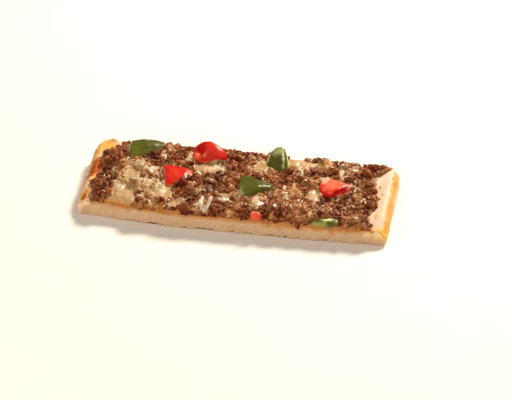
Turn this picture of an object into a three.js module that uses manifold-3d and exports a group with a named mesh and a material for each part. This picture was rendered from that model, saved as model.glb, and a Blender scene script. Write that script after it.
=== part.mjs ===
// A flatbread pizza: one baked strip of bread, cut straight along both long sides, under melted
// cheese, fried beef mince and eight pieces of red and green pepper.
// Millimetres, +X along the strip, +Z up. The origin is the middle of the underside.
import * as THREE from "three";
import { mergeVertices } from "three/addons/utils/BufferGeometryUtils.js";
import Module from "manifold-3d";

const wasm = await Module();
wasm.setup();

// Driving dimensions
const length = 250;
const width = 84;
const breadThickness = 13.6; // at the cut faces
const leftRim = { width: 11, lift: 3.6, crest: 4, frontIn: 0, backCorner: 15 }; // a baked, raised end
const rightRim = { width: 16, lift: 3.8, crest: 4, frontIn: 3.5, backCorner: 2 };
const rimBulge = 2; // how far an end swells out at half its height
const rimDrop = 5; // how far the upper side falls at the very end
const frontDrift = { left: 6, right: 2.4 }; // how far the front cut drifts in towards each end
const driftSpan = { from: 44, to: 137 }; // and between which distances from the middle
const cheese = { thickness: 2.1, left: -117, right: 111, wander: 1.2, inset: 0.6 };
const mince = { thickness: 4.8, left: -116, right: 109.5, wander: 2.4, inset: 1.1 };
const clumpSize = 8; // a clump of mince across
const grainSize = 3; // a grain of mince, which roughens the top of the heap
const blisterSize = 6; // a bubble in the cheese across
const pepper = { wall: 4.4, thinEdge: 0.35, roundCorner: 0.14, usualLength: 20 };
const gap = 0.3; // air between two pieces that touch
const pocketRoom = 1; // a piece of pepper lies loosely among the mince

// Pools where the cheese rises and shows between the mince: centre and half lengths
const poolRise = 3.4;
const poolEdge = { inner: 0.6, outer: 1.35, ragged: 0.5 }; // as shares of the half lengths
const pools = [
  { x: -87, y: -27, rx: 13, ry: 13 },
  { x: -84, y: -4, rx: 9, ry: 14 },
  { x: -60, y: -25, rx: 9, ry: 14 },
  { x: -46, y: -36, rx: 8, ry: 5 },
  { x: -28, y: 14, rx: 13, ry: 6 },
  { x: 13, y: 24, rx: 8, ry: 10 },
  { x: 46, y: 31, rx: 10, ry: 7 },
  { x: 18, y: -23, rx: 6, ry: 8 },
  { x: 65, y: 27, rx: 6, ry: 9 },
  { x: 62, y: -10, rx: 5, ry: 8 },
  { x: 80, y: 19, rx: 7, ry: 7 },
];

// Pieces of pepper. Each starts as a level slab with its four corners, in plan, round the point
// "at", and is curved through bend degrees along X and fold degrees along Y, then turned.
const pepperPieces = [
  {
    name: "green_pepper_1",
    at: [-83, 31, 20.8],
    corners: { frontLeft: [-13, -15], frontRight: [18, 4], backRight: [13, 12.5], backLeft: [-15, 9] },
    curve: { bend: 14, fold: 24 },
    turn: [4, -3, 0],
  },
  {
    name: "green_pepper_2",
    at: [26.5, 31, 24.2],
    corners: { frontLeft: [-11, -8], frontRight: [13, -7.5], backRight: [3, 9], backLeft: [-3, 9] },
    curve: { bend: 96, fold: 10 },
    turn: [46, 6, -4],
  },
  {
    name: "green_pepper_3",
    at: [12.5, -6, 20.6],
    corners: { frontLeft: [-11, -13], frontRight: [5, -8], backRight: [15, 7], backLeft: [-12, 13] },
    curve: { bend: 44, fold: 14 },
    turn: [2, -4, 0],
  },
  {
    name: "green_pepper_4",
    at: [74, -39, 17.6],
    corners: { frontLeft: [-11, -3], frontRight: [9, -3], backRight: [12, 4], backLeft: [-8, 4] },
    curve: { bend: 34, fold: 30 },
    turn: [30, 0, 3],
  },
  {
    name: "red_pepper_1",
    at: [-31, 31.5, 24],
    corners: { frontLeft: [-18, -8], frontRight: [19, -7], backRight: [17, 7], backLeft: [-16, 8] },
    curve: { bend: 130, fold: 16 },
    turn: [34, 0, 0],
  },
  {
    name: "red_pepper_2",
    at: [-51, -1, 20.8],
    corners: { frontLeft: [-5, -13], frontRight: [12, -6], backRight: [10, 9], backLeft: [-14, 11] },
    curve: { bend: 22, fold: 14 },
    turn: [0, 2, 0],
  },
  {
    name: "red_pepper_3",
    at: [75.5, 2.5, 21.4],
    corners: { frontLeft: [-4, -13], frontRight: [6, -10], backRight: [16, 8], backLeft: [-13, 10] },
    curve: { bend: 50, fold: 26 },
    turn: [4, 0, 0],
  },
  {
    name: "red_pepper_4",
    at: [19.5, -39, 18.4],
    corners: { frontLeft: [-3, -3], frontRight: [5, -4], backRight: [4, 3], backLeft: [-6, 4] },
    curve: { bend: 50, fold: 30 },
    turn: [50, 0, 0],
  },
];

// Faces along, across and through each solid
const breadGrid = [32, 8, 4];
const cheeseGrid = [30, 10, 1];
const minceGrid = [42, 15, 1];
const pepperGrid = [6, 5, 2];
const pocketGrid = [4, 3, 1];
const outlineSteps = { along: 30, across: 12 };

const finish = (color, roughness) => new THREE.MeshStandardMaterial({ color, roughness, metalness: 0 });
const bakedBread = finish("#d9ab72", 0.85);
const meltedCheese = finish("#dcc386", 0.35);
const friedMince = finish("#6b4128", 0.6);
const redPepper = finish("#c81e14", 0.3);
const greenPepper = finish("#5f6427", 0.35);

const { degToRad, lerp, smoothstep } = THREE.MathUtils;
const halfLength = length / 2;
const halfWidth = width / 2;

// A value from 0 to 1, fixed for each pair of whole numbers
function chance(i, j) {
  const wave = Math.sin(i * 127.1 + j * 311.7) * 43758.5453;
  return wave - Math.floor(wave);
}

// Smooth uneven relief from 0 to 1, its lumps one unit across
function relief(x, y) {
  const [i, j] = [Math.floor(x), Math.floor(y)];
  const [s, t] = [smoothstep(x - i, 0, 1), smoothstep(y - j, 0, 1)];
  const near = lerp(chance(i, j), chance(i + 1, j), s);
  const far = lerp(chance(i, j + 1), chance(i + 1, j + 1), s);
  return lerp(near, far, t);
}

// The front cut runs straight in the middle and drifts in towards the ends
function frontEdge(x) {
  const drift = x < 0 ? frontDrift.left : frontDrift.right;
  return drift * smoothstep(Math.abs(x), driftSpan.from, driftSpan.to) - halfWidth;
}

// How far the toppings keep in from the left end, where the back corner is rounded
function cornerIn(y) {
  return leftRim.backCorner * Math.max(0, y / halfWidth) ** 3;
}

// Height of the bread's upper side: a slow wave between the rims, which rise to a crest
function breadTop(x, y) {
  const rim = x < 0 ? leftRim : rightRim;
  const inward = halfLength - Math.abs(x);
  const wave = 0.35 * Math.sin(x / 21 + 0.6) + 0.2 * Math.sin(x / 9 - y / 14);
  const climb = 1 - smoothstep(inward, rim.crest, rim.width);
  const roundedEdge = 1 - smoothstep(inward, -rim.crest, rim.crest);
  const uneven = 0.8 + 0.4 * relief(y / rim.width, rim.width);
  return breadThickness + wave + rim.lift * climb * uneven - rimDrop * roundedEdge;
}

// 1 in the middle of a pool of cheese, falling to 0 past its ragged edge
function poolCover(x, y) {
  const offs = pools.map((pool) => Math.hypot((x - pool.x) / pool.rx, (y - pool.y) / pool.ry));
  const stray = poolEdge.ragged * (relief(x / blisterSize, y / blisterSize) - 0.5);
  return 1 - smoothstep(Math.min(...offs) + stray, poolEdge.inner, poolEdge.outer);
}

function cheeseTop(x, y) {
  const layer = cheese.thickness * (0.85 + 0.3 * relief(x / blisterSize, y / blisterSize));
  return breadTop(x, y) + layer + poolRise * poolCover(x, y);
}

function minceTop(x, y) {
  const inward = Math.min(x - mince.left - cornerIn(y), mince.right - x);
  const full = 0.55 + 0.45 * smoothstep(inward, 0, clumpSize);
  const clumps = 0.7 + 0.6 * relief(x / clumpSize, y / clumpSize);
  const grains = grainSize * (chance(Math.round(x), Math.round(y)) - 0.5);
  const bare = 1 - poolCover(x, y);
  return breadTop(x, y) + cheese.thickness + full * bare * (mince.thickness * clumps + grains);
}

// Moves every vertex of a geometry by a function of its place
function shape(geometry, move) {
  const places = geometry.getAttribute("position");
  const place = new THREE.Vector3();
  for (let i = 0; i < places.count; i++) {
    move(place.fromBufferAttribute(places, i));
    places.setXYZ(i, place.x, place.y, place.z);
  }
  return geometry;
}

function solid(geometry) {
  geometry.deleteAttribute("normal");
  geometry.deleteAttribute("uv");
  const merged = mergeVertices(geometry, 1e-4);
  const vertProperties = new Float32Array(merged.attributes.position.array);
  const triVerts = new Uint32Array(merged.index.array);
  return new wasm.Manifold(new wasm.Mesh({ numProp: 3, vertProperties, triVerts }));
}

function named(name, mesh) {
  mesh.name = name;
  return mesh;
}

function meshOf(body, material) {
  const { vertProperties, triVerts } = body.getMesh();
  const geometry = new THREE.BufferGeometry();
  geometry.setAttribute("position", new THREE.BufferAttribute(vertProperties, 3));
  geometry.setIndex(new THREE.BufferAttribute(triVerts, 1));
  geometry.computeVertexNormals();
  return new THREE.Mesh(geometry, material);
}

// The strip of bread: flat underneath, straight cuts along the sides, swollen baked ends.
// It can be made a little taller, to cut room for what lies on it.
function breadSolid(extra = 0) {
  const block = new THREE.BoxGeometry(2, 2, 1, ...breadGrid);
  return solid(shape(block, (p) => {
    const [s, t] = [p.x * (1.35 - 0.35 * p.x ** 2), p.y * (1.3 - 0.3 * p.y ** 2)]; // rows crowd the rims
    const rim = s < 0 ? leftRim : rightRim;
    const corner = rim.frontIn * Math.max(0, 0.3 - 0.7 * t) + rim.backCorner * Math.max(0, t) ** 10;
    const up = p.z + 0.5;
    const inset = corner + rimBulge * (2 * up - 1) ** 2;
    const x = halfLength * s;
    const y = t < 0 ? -t * frontEdge(x) : t * halfWidth;
    const endward = Math.sign(s) * Math.abs(s) ** 7;
    p.set(x - endward * inset, y, up * (breadTop(x, y) + extra));
  }));
}

// A layer of topping: a block between two surfaces, trimmed to an outline that follows the cut
// sides of the bread and wanders across its ends
function layerSolid(layer, grid, underside, upperSide) {
  const block = shape(new THREE.BoxGeometry(length, width, 1, ...grid), (p) => {
    p.z = p.z < 0 ? underside(p.x, p.y) : upperSide(p.x, p.y);
  });
  const stray = (place, side) => layer.wander * relief(place / clumpSize, side);
  const along = (t) => lerp(layer.left, layer.right, t);
  const across = (t, end) => lerp(frontEdge(end), halfWidth, t) + layer.inset * (1 - 2 * t);
  const points = [];
  const go = (steps, at) => {
    for (let i = 0; i < steps; i++) points.push(at(i / steps));
  };
  go(outlineSteps.along, (t) => {
    const x = along(t);
    return new THREE.Vector2(x, frontEdge(x) + layer.inset + stray(x, 3));
  });
  go(outlineSteps.across, (t) => {
    const y = across(t, layer.right);
    return new THREE.Vector2(layer.right + 2 * stray(y, 5), y);
  });
  go(outlineSteps.along, (t) => {
    const x = along(1 - t) + cornerIn(halfWidth) * t ** 4;
    return new THREE.Vector2(x, halfWidth - layer.inset - stray(x, 7));
  });
  go(outlineSteps.across, (t) => {
    const y = across(1 - t, layer.left);
    return new THREE.Vector2(layer.left + cornerIn(y) - 2 * stray(y, 9), y);
  });
  const outline = new THREE.ExtrudeGeometry(new THREE.Shape(points), { depth: 60, bevelEnabled: false });
  return solid(block).intersect(solid(outline));
}

// A piece of pepper, thinner at its rounded edges, curved, and set in its place on the pizza
function pepperMesh({ at, corners, curve, turn }, material, grid = pepperGrid, grow = 0) {
  const { frontLeft, frontRight, backRight, backLeft } = corners;
  const long = (frontRight[0] - frontLeft[0] + backRight[0] - backLeft[0]) / 2;
  const wide = (backLeft[1] - frontLeft[1] + backRight[1] - frontRight[1]) / 2;
  const bendRadius = long / degToRad(curve.bend);
  const foldRadius = wide / degToRad(curve.fold);
  const reach = 0.5 + grow / pepper.usualLength;
  const blend = (axis, s, t) => {
    const front = lerp(frontLeft[axis], frontRight[axis], s);
    return lerp(front, lerp(backLeft[axis], backRight[axis], s), t);
  };
  const slab = shape(new THREE.BoxGeometry(2, 2, 1, ...grid), (p) => {
    const thin = (1 - pepper.thinEdge * p.x ** 4) * (1 - pepper.thinEdge * p.y ** 4);
    const s = 0.5 + reach * p.x * (1 - pepper.roundCorner * p.y ** 4);
    const t = 0.5 + reach * p.y * (1 - pepper.roundCorner * p.x ** 4);
    const [x, y] = [blend(0, s, t), blend(1, s, t)];
    const bent = bendRadius + p.z * (pepper.wall * thin + 2 * grow);
    const folded = foldRadius + bent * Math.cos(x / bendRadius) - bendRadius;
    p.x = bent * Math.sin(x / bendRadius);
    p.y = folded * Math.sin(y / foldRadius);
    p.z = folded * Math.cos(y / foldRadius) - foldRadius;
  });
  const mesh = new THREE.Mesh(slab, material);
  mesh.position.set(...at);
  mesh.rotation.set(...turn.map(degToRad));
  return mesh;
}

// The room that a piece of pepper takes among the mince and cheese
function pocketSolid(pepperPiece) {
  const mesh = pepperMesh(pepperPiece, null, pocketGrid, pocketRoom);
  mesh.updateMatrix();
  return solid(mesh.geometry.applyMatrix4(mesh.matrix));
}

const insideBread = (x, y) => breadTop(x, y) - cheese.thickness;
const breadRoom = breadSolid(gap);
const cheeseRoom = layerSolid(
  { ...cheese, left: cheese.left - gap, right: cheese.right + gap, inset: cheese.inset - gap },
  cheeseGrid,
  insideBread,
  (x, y) => cheeseTop(x, y) + gap,
);
const pepperRoom = pepperPieces.map(pocketSolid).reduce((joined, pocket) => joined.add(pocket));
const cheeseBody = layerSolid(cheese, cheeseGrid, insideBread, cheeseTop)
  .subtract(breadRoom)
  .subtract(pepperRoom);
const minceBody = layerSolid(mince, minceGrid, insideBread, minceTop)
  .subtract(breadRoom)
  .subtract(cheeseRoom)
  .subtract(pepperRoom);

const pizza = new THREE.Group();
pizza.add(named("flatbread", meshOf(breadSolid(), bakedBread)));
pizza.add(named("cheese", meshOf(cheeseBody, meltedCheese)));
pizza.add(named("ground_beef", meshOf(minceBody, friedMince)));
for (const one of pepperPieces) {
  const skin = one.name.startsWith("red") ? redPepper : greenPepper;
  pizza.add(named(one.name, pepperMesh(one, skin)));
}

export default pizza;
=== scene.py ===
import math
from itertools import product

import bpy
import numpy as np
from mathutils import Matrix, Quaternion, Vector, noise
from mathutils.bvhtree import BVHTree


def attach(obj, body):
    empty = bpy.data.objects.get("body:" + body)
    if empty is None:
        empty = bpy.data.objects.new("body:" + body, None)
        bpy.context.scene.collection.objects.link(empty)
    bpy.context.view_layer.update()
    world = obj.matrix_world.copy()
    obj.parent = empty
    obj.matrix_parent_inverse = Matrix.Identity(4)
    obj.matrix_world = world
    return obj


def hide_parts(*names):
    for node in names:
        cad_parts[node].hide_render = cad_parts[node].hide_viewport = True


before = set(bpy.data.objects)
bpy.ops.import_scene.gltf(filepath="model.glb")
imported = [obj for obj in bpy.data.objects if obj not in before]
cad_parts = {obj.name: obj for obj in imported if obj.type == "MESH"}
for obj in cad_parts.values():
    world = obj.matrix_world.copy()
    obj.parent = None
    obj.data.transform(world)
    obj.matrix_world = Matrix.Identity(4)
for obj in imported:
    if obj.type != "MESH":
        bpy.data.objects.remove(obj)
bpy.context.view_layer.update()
mm = 0.001


def smoothStep(value, low, high):
    t = np.clip((value - low) / (high - low), 0, 1)
    return t * t * (3 - 2 * t)


def fade(value, low, high):
    return 1 - smoothStep(value, low, high)  # 1 up to low, 0 from high on


def mix(a, b, share):
    return a + (b - a) * share


def ovalOff(x, y, px, py, rx, ry):
    return np.hypot((x - px) / rx, (y - py) / ry)  # 0 in the middle of an oval, 1 at its edge


def chance(i, j):
    wave = np.sin(i * 127.1 + j * 311.7) * 43758.5453  # 0 to 1, fixed for each pair of whole numbers
    return wave - np.floor(wave)


def relief(x, y):
    x, y = np.broadcast_arrays(np.asarray(x, float), np.asarray(y, float))
    i, j = np.floor(x), np.floor(y)
    s, t = smoothStep(x - i, 0, 1), smoothStep(y - j, 0, 1)
    near = mix(chance(i, j), chance(i + 1, j), s)
    far = mix(chance(i, j + 1), chance(i + 1, j + 1), s)
    return mix(near, far, t)


def lumps(points, size, seed=0):
    moved = np.asarray(points, float) / size + 19.7 * seed  # smooth lumps, about -0.7 to 0.7
    return np.array([noise.noise(p) for p in moved.tolist()])


def pits(points, size, seed=0):
    moved = np.asarray(points, float) / size + 13.1 * seed  # 0 in the middle of a cell, 1 at its wall
    return np.array([min(1, noise.voronoi(p)[0][0]) for p in moved.tolist()])


def boxGrid(across, deep, high, plainUnder=False):
    # the outside of a block of cells: places from 0 to 1, faces, and the side each face is on
    counts = (across, deep, high)
    square = ((0, 0), (1, 0), (1, 1), (0, 1))
    index = {}
    faces = []
    sides = []
    for axis, names in ((2, ("under", "top")), (1, ("front", "back")), (0, ("left", "right"))):
        u, v = (axis + 1) % 3, (axis + 2) % 3
        for a, b, end in product(range(counts[u]), range(counts[v]), (0, 1)):
            if plainUnder and names[end] == "under":
                continue
            corners = []
            for du, dv in square if end else square[:1] + square[:0:-1]:
                place = [end * counts[axis]] * 3
                place[u] = a + du
                place[v] = b + dv
                corners.append(index.setdefault(tuple(place), len(index)))
            faces.append(tuple(corners))
            sides.append(names[end])
    if plainUnder:
        ring = [(0, j) for j in range(deep)] + [(i, deep) for i in range(across)]
        ring += [(across, j) for j in range(deep, 0, -1)] + [(i, 0) for i in range(across, 0, -1)]
        faces.append(tuple(index[i, j, 0] for i, j in ring))
        sides.append("under")
    return np.array(list(index)) / counts, faces, sides


def addPiece(name, points, faces, materials, values, stands=(), faceMaterials=None):
    mesh = bpy.data.meshes.new(name)
    mesh.from_pydata((np.asarray(points) * mm).tolist(), [], faces)
    mesh.polygons.foreach_set("use_smooth", [True] * len(mesh.polygons))
    for material in materials:
        mesh.materials.append(material)
    if faceMaterials is not None:
        mesh.polygons.foreach_set("material_index", faceMaterials)
    for label, numbers in values.items():
        layer = mesh.attributes.new(label, "FLOAT", "POINT")
        layer.data.foreach_set("value", np.asarray(numbers, np.float32))
    piece = bpy.data.objects.new(name, mesh)
    bpy.context.scene.collection.objects.link(piece)
    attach(piece, "root")
    for node in stands:
        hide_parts(node)
    print(f"{name}: {sum(len(f) - 2 for f in faces)} triangles")


def linear(hexColour):
    channels = [int(hexColour[i : i + 2], 16) / 255 for i in (0, 2, 4)]
    return [c / 12.92 if c <= 0.04045 else ((c + 0.055) / 1.055) ** 2.4 for c in channels] + [1]


def perMm(size):
    return 1 / (size * mm)  # texture scale for a pattern that repeats every size millimetres


def addNode(tree, kind, settings=None, links=None):
    # a new node, or more settings and links for one that is there already
    node = tree.nodes.new("ShaderNode" + kind) if isinstance(kind, str) else kind
    for label, value in (settings or {}).items():
        if label == "stops":
            ramp = node.color_ramp.elements
            while len(ramp) < len(value):
                ramp.new(1)
            for stop, (position, colour) in zip(ramp, value):
                stop.position = position
                stop.color = linear(colour)
        elif isinstance(label, int) or label in node.inputs:
            node.inputs[label].default_value = linear(value) if isinstance(value, str) else value
        else:
            setattr(node, label, value)
    for label, source in (links or {}).items():
        if isinstance(source, bpy.types.Node):  # a node stands for its Fac, or else for its first output
            source = source.outputs["Fac" if "Fac" in source.outputs else 0]
        tree.links.new(source, node.inputs[label])
    return node


def startMaterial(name, look, attributes=()):
    # read holds what the material starts from: the place, the piece's attributes and the look's noises
    material = bpy.data.materials.new(name)
    material.use_nodes = True
    tree = material.node_tree
    place = addNode(tree, "TexCoord").outputs["Object"]
    read = {"place": place}
    for label in attributes:
        read[label] = addNode(tree, "Attribute", {"attribute_name": label})
    for label, (size, detail) in look["noises"].items():
        read[label] = addNode(tree, "TexNoise", {"Scale": perMm(size), "Detail": detail}, {"Vector": place})
    return material, tree, tree.nodes["Principled BSDF"], read


crustLook = {
    "stops": [  # from pale to dark
        (0.0, "edcbb4"), (0.13, "ebc8a4"), (0.28, "e2ae72"), (0.45, "d2913f"),
        (0.6, "c0640c"), (0.8, "ae4802"), (1.0, "6e2e06"),
    ],
    "gold": "d8aa40",
    "noises": {"mottle": (5, 4), "freckle": (1.6, 3), "grain": (0.5, 4)},  # size and detail
    "mottling": 0.3,
    "freckling": 0.14,
    "paler": 0.22,  # brings the two noises back to the middle
    "shader": {
        "Roughness": 0.55, "IOR": 1.45, "Specular IOR Level": 0.2,
        "Subsurface Weight": 0.06, "Subsurface Scale": 1 * mm,
    },
}


def wheatCrust(look):
    # Wheat crust, baked: dry and slightly waxy, so it is matt with a faint sheen,
    # cream where it is pale and orange-brown on the blisters
    material, tree, shader, read = startMaterial("bakedWheatCrust", look, ("bake", "gold"))
    shade = read["bake"]
    for noiseName, share in (("mottle", look["mottling"]), ("freckle", look["freckling"])):
        more = {"operation": "MULTIPLY_ADD", 1: share}
        shade = addNode(tree, "Math", more, {0: read[noiseName], 2: shade})
    shift = addNode(tree, "Math", {"operation": "SUBTRACT", 1: look["paler"]}, {0: shade})
    ramp = addNode(tree, "ValToRGB", {"stops": look["stops"]}, {"Fac": shift})
    oiled = addNode(tree, "MixRGB", {"Color2": look["gold"]}, {"Fac": read["gold"], "Color1": ramp})
    coarse = addNode(tree, "Bump", {"Strength": 0.35, "Distance": 0.4 * mm}, {"Height": read["freckle"]})
    uneven = {"Height": read["grain"], "Normal": coarse}
    fine = addNode(tree, "Bump", {"Strength": 0.3, "Distance": 0.12 * mm}, uneven)
    addNode(tree, shader, look["shader"], {"Base Color": oiled, "Normal": fine})
    return material


crumbLook = {
    "pale": "d9bb98",
    "warm": "c0976c",
    # painted shade in the pores of the crumb
    "poreShadeColour": "8f6238",
    "browned": "a5652c",
    "gold": "fbd793",
    "noises": {"patch": (9, 3), "finePore": (0.6, 4)},
    "pore": 1.3,
    "shader": {"Roughness": 0.85, "IOR": 1.4, "Subsurface Weight": 0.15, "Subsurface Scale": 1.5 * mm},
}


def wheatCrumb(look):
    # Soft wheat crumb, sliced: pale and matt, small pores painted darker as shade, browner near the crust
    material, tree, shader, read = startMaterial("slicedWheatCrumb", look, ("bake", "gold"))
    cells = {"Scale": perMm(look["pore"]), "feature": "SMOOTH_F1", "Smoothness": 0.4}
    pore = addNode(tree, "TexVoronoi", cells, {"Vector": read["place"]})
    # painted shade: darkest in the middle of each pore
    poreShading = {"From Min": 0.05, "From Max": 0.42, "To Min": 0.75, "To Max": 0}
    paintedHollowShade = addNode(tree, "MapRange", poreShading, {"Value": pore})
    tones = {"Color1": look["pale"], "Color2": look["warm"]}
    colour = addNode(tree, "MixRGB", tones, {"Fac": read["patch"]})
    for share, over in ((paintedHollowShade, "poreShadeColour"), (read["bake"], "browned"), (read["gold"], "gold")):
        colour = addNode(tree, "MixRGB", {"Color2": look[over]}, {"Fac": share, "Color1": colour})
    coarse = addNode(tree, "Bump", {"Strength": 0.6, "Distance": 0.5 * mm}, {"Height": pore})
    uneven = {"Height": read["finePore"], "Normal": coarse}
    fine = addNode(tree, "Bump", {"Strength": 0.6, "Distance": 0.25 * mm}, uneven)
    addNode(tree, shader, look["shader"], {"Base Color": colour, "Normal": fine})
    return material


cheeseLook = {
    "creamy": "ad8954",
    "pale": "c2a276",
    "milky": "e2cfb6",
    "overMince": "95653a",
    "toasted": "c27a2c",
    "soaked": "d29857",
    "noises": {"patch": (7, 4), "curd": (1.5, 4)},
    "scorch": 1.9,
    "roughness": {"From Min": 0.3, "From Max": 0.7, "To Min": 0.24, "To Max": 0.46},
    "shader": {
        "IOR": 1.45, "Subsurface Weight": 0.3, "Subsurface Scale": 1.5 * mm,
        "Coat Weight": 0.26, "Coat Roughness": 0.14,
    },
}


def meltedCheese(look):
    # Mozzarella, melted and baked: oily and translucent, creamy where it pools,
    # brown where it lies thin on mince or toasts
    attributes = ("cover", "toast", "milk", "soak")
    material, tree, shader, read = startMaterial("meltedMozzarella", look, attributes)
    patch, curd = read["patch"], read["curd"]
    body = addNode(tree, "MixRGB", {"Color1": look["creamy"], "Color2": look["pale"]}, {"Fac": patch})
    white = addNode(tree, "MixRGB", {"Color2": look["milky"]}, {"Fac": read["milk"], "Color1": body})
    thin = addNode(tree, "MixRGB", {"Color1": look["overMince"]}, {"Fac": read["cover"], "Color2": white})
    spotty = addNode(tree, "Math", {"operation": "MULTIPLY"}, {0: read["toast"], 1: curd})
    amount = {"operation": "MULTIPLY", 1: look["scorch"], "use_clamp": True}
    scorch = addNode(tree, "Math", amount, {0: spotty})
    baked = addNode(tree, "MixRGB", {"Color2": look["toasted"]}, {"Fac": scorch, "Color1": thin})
    soaking = addNode(tree, "MapRange", {"From Min": 0.35, "From Max": 1}, {"Value": read["soak"]})
    soaked = addNode(tree, "MixRGB", {"Color2": look["soaked"]}, {"Fac": soaking, "Color1": baked})
    bump = addNode(tree, "Bump", {"Strength": 0.5, "Distance": 0.4 * mm}, {"Height": curd})
    rough = addNode(tree, "MapRange", look["roughness"], {"Value": patch})
    addNode(tree, shader, look["shader"], {"Base Color": soaked, "Normal": bump, "Roughness": rough})
    return material


minceLook = {
    "stops": [(0.0, "441001"), (0.3, "702e0b"), (0.55, "954e22"), (0.8, "b07142"), (1.0, "cc9c70")],
    # painted shade in the creases of the crumbs and between the grains of the core
    "crease": "2e0e01",
    "creaseShadeStrength": 0.8,
    "film": "b68b5a",
    "noises": {"fibre": (1.2, 4), "grain": (0.4, 3), "veil": (2.2, 3)},
    "fibreTone": 0.6,
    "shader": {
        "Roughness": 0.55, "IOR": 1.4, "Specular IOR Level": 0.3,
        "Coat Weight": 0.04, "Coat Roughness": 0.2,
    },
}


def friedMince(look):
    # Beef mince, fried and baked: brown knobbly crumbs, paler and fatty where cheese has run over them
    # the creases between knobs are painted darker as shade
    material, tree, shader, read = startMaterial("friedBeefMince", look, ("tone", "crease", "glaze"))
    fibrous = {"operation": "MULTIPLY_ADD", 1: look["fibreTone"]}
    value = addNode(tree, "Math", fibrous, {0: read["fibre"], 2: read["tone"]})
    shift = addNode(tree, "Math", {"operation": "SUBTRACT", 1: look["fibreTone"] / 2}, {0: value})
    ramp = addNode(tree, "ValToRGB", {"stops": look["stops"]}, {"Fac": shift})
    paintedHollowShade = addNode(tree, "Math", {"operation": "MULTIPLY", 1: look["creaseShadeStrength"]}, {0: read["crease"]})
    thick = addNode(tree, "Math", {"operation": "MULTIPLY_ADD", 1: 0.9, 2: -0.15}, {0: read["glaze"]})
    patchy = addNode(tree, "MapRange", {"From Min": 0.35, "From Max": 0.6}, {"Value": read["veil"]})
    veiling = addNode(tree, "Math", {"operation": "MULTIPLY", "use_clamp": True}, {0: thick, 1: patchy})
    colour = ramp
    for share, over in ((paintedHollowShade, "crease"), (veiling, "film")):
        colour = addNode(tree, "MixRGB", {"Color2": look[over]}, {"Fac": share, "Color1": colour})
    coarse = addNode(tree, "Bump", {"Strength": 0.4, "Distance": 0.3 * mm}, {"Height": read["fibre"]})
    uneven = {"Height": read["grain"], "Normal": coarse}
    fine = addNode(tree, "Bump", {"Strength": 0.25, "Distance": 0.1 * mm}, uneven)
    addNode(tree, shader, look["shader"], {"Base Color": colour, "Normal": fine})
    return material


pepperLook = {
    "red": {
        "skin": "d0140a", "deep": "a80806", "flesh": "e2502a",
        "rim": "ec7c54", "warm": "e6501c", "milky": "dea484",
    },
    "green": {
        "skin": "5c5c1c", "deep": "444508", "flesh": "a8a838",
        "rim": "dcdc8c", "warm": "84841a", "milky": "cdcf96",
    },
    "noises": {"patch": (6, 3), "wrinkle": (1.8, 4), "veil": (1.6, 3)},
    "roughness": (0.28, 0.25),  # of bare skin, and how much rougher under cheese
    "shader": {
        "IOR": 1.4, "Specular IOR Level": 0.4, "Subsurface Weight": 0.1, "Subsurface Scale": 1.2 * mm,
        "Coat Weight": 0.1, "Coat Roughness": 0.12,
    },
}


def bakedPepper(kind, look):
    # Bell pepper, diced and baked: waxy glossy skin, paler juicy flesh at the cuts,
    # hazy where cheese has run over it, and paler where a highlight is painted on
    colours = look[kind]
    attributes = ("depth", "warm", "film")
    material, tree, shader, read = startMaterial(kind + "BellPepperBaked", look, attributes)
    patch, film = read["patch"], read["film"]
    skin = addNode(tree, "MixRGB", {"Color1": colours["skin"], "Color2": colours["deep"]}, {"Fac": patch})
    warmed = addNode(tree, "MixRGB", {"Color2": colours["warm"]}, {"Fac": read["warm"], "Color1": skin})
    flesh = addNode(tree, "MixRGB", {"Color1": colours["rim"], "Color2": colours["flesh"]}, {"Fac": patch})
    inward = addNode(tree, "MapRange", {"From Min": 0.08, "From Max": 0.3}, {"Value": read["depth"]})
    body = addNode(tree, "MixRGB", {}, {"Fac": inward, "Color1": warmed, "Color2": flesh})
    thickness = {"From Min": 0.3, "From Max": 0.6, "To Min": 0.5, "To Max": 1.2}
    uneven = addNode(tree, "MapRange", thickness, {"Value": read["veil"]})
    # haze: a film of cheese, and in places a painted highlight
    hazeAndPaintedHighlight = addNode(tree, "Math", {"operation": "MULTIPLY", "use_clamp": True}, {0: film, 1: uneven})
    hazedAndHighlighted = addNode(tree, "MixRGB", {"Color2": colours["milky"]}, {"Fac": hazeAndPaintedHighlight, "Color1": body})
    bump = addNode(tree, "Bump", {"Strength": 0.3, "Distance": 0.3 * mm}, {"Height": read["wrinkle"]})
    bare, rougher = look["roughness"]
    rough = addNode(tree, "Math", {"operation": "MULTIPLY_ADD", 1: rougher, 2: bare}, {0: film})
    addNode(tree, shader, look["shader"], {"Base Color": hazedAndHighlighted, "Normal": bump, "Roughness": rough})
    return material


crust = wheatCrust(crustLook)
crumb = wheatCrumb(crumbLook)
cheeseMaterial = meltedCheese(cheeseLook)
minceMaterial = friedMince(minceLook)
pepperMaterials = {kind: bakedPepper(kind, pepperLook) for kind in ("red", "green")}
print("materials made")


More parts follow.
